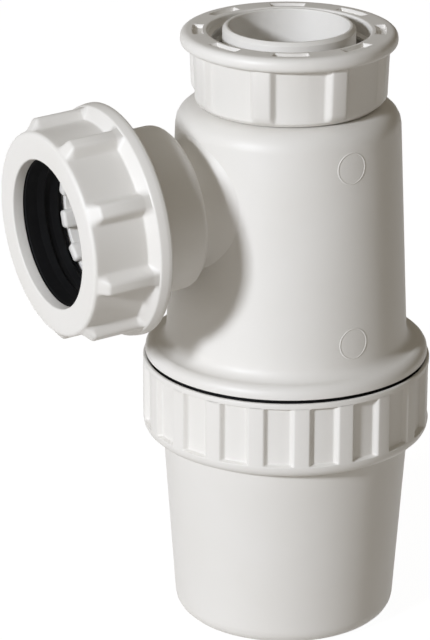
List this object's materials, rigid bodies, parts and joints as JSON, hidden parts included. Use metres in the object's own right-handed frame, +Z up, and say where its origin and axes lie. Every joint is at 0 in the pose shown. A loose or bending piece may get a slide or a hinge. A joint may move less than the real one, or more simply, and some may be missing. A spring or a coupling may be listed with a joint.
{
  "type": "anti-syphon bottle trap",
  "caption": "White plastic bottle trap for a basin waste: ribbed screw-off bottle, side outlet with a compression nut, inlet union nut on top, and an anti-syphon by-pass round the dip tube.",
  "frame": {"origin": "centre of the bottle's flat base", "axes": "+Z up the trap's axis towards the inlet; the outlet points along -X and falls 3 degrees"},
  "size_m": [0.1245, 0.0864, 0.1848],
  "materials": {
    "moulded_plastic": "satin moulded polypropylene, off-white",
    "rubber_seal": "matt black rubber"
  },
  "bodies": {
    "trap": {"trap_body": "moulded_plastic", "dip_tube": "moulded_plastic", "dip_tube_seal": "rubber_seal", "bypass_sleeve": "moulded_plastic", "inlet_washer": "rubber_seal"},
    "inlet_nut": {"inlet_nut": "moulded_plastic"},
    "bottle_seal": {"bottle_seal": "rubber_seal"},
    "bottle": {"bottle": "moulded_plastic"},
    "outlet_seal": {"outlet_seal": "rubber_seal"},
    "outlet_nut": {"outlet_nut": "moulded_plastic"}
  },
  "joints": [
    {"name": "inlet_nut_swivel", "type": "hinge", "parent": "trap", "child": "inlet_nut", "pos_m": [0, 0, 0.1726], "axis": [0, 0, 1], "continuous": true},
    {"name": "bottle_travel", "type": "slide", "parent": "trap", "child": "bottle_seal", "axis": [0, 0, -1], "range_m": [0, 0.012]},
    {"name": "bottle_turn", "type": "hinge", "parent": "bottle_seal", "child": "bottle", "pos_m": [0, 0, 0.0765], "axis": [0, 0, -1], "range_deg": [0, 1080]},
    {"name": "outlet_nut_travel", "type": "slide", "parent": "trap", "child": "outlet_seal", "axis": [-0.9986, 0, -0.0523], "range_m": [0, 0.012]},
    {"name": "outlet_nut_turn", "type": "hinge", "parent": "outlet_seal", "child": "outlet_nut", "pos_m": [-0.06681, 0, 0.1342], "axis": [-0.9986, 0, -0.0523], "range_deg": [0, 1080]}
  ],
  "couplings": [
    {"joint": "bottle_travel", "follows": "bottle_turn", "m_per_rad": 0.0006366},
    {"joint": "outlet_nut_travel", "follows": "outlet_nut_turn", "m_per_rad": 0.0006366}
  ]
}
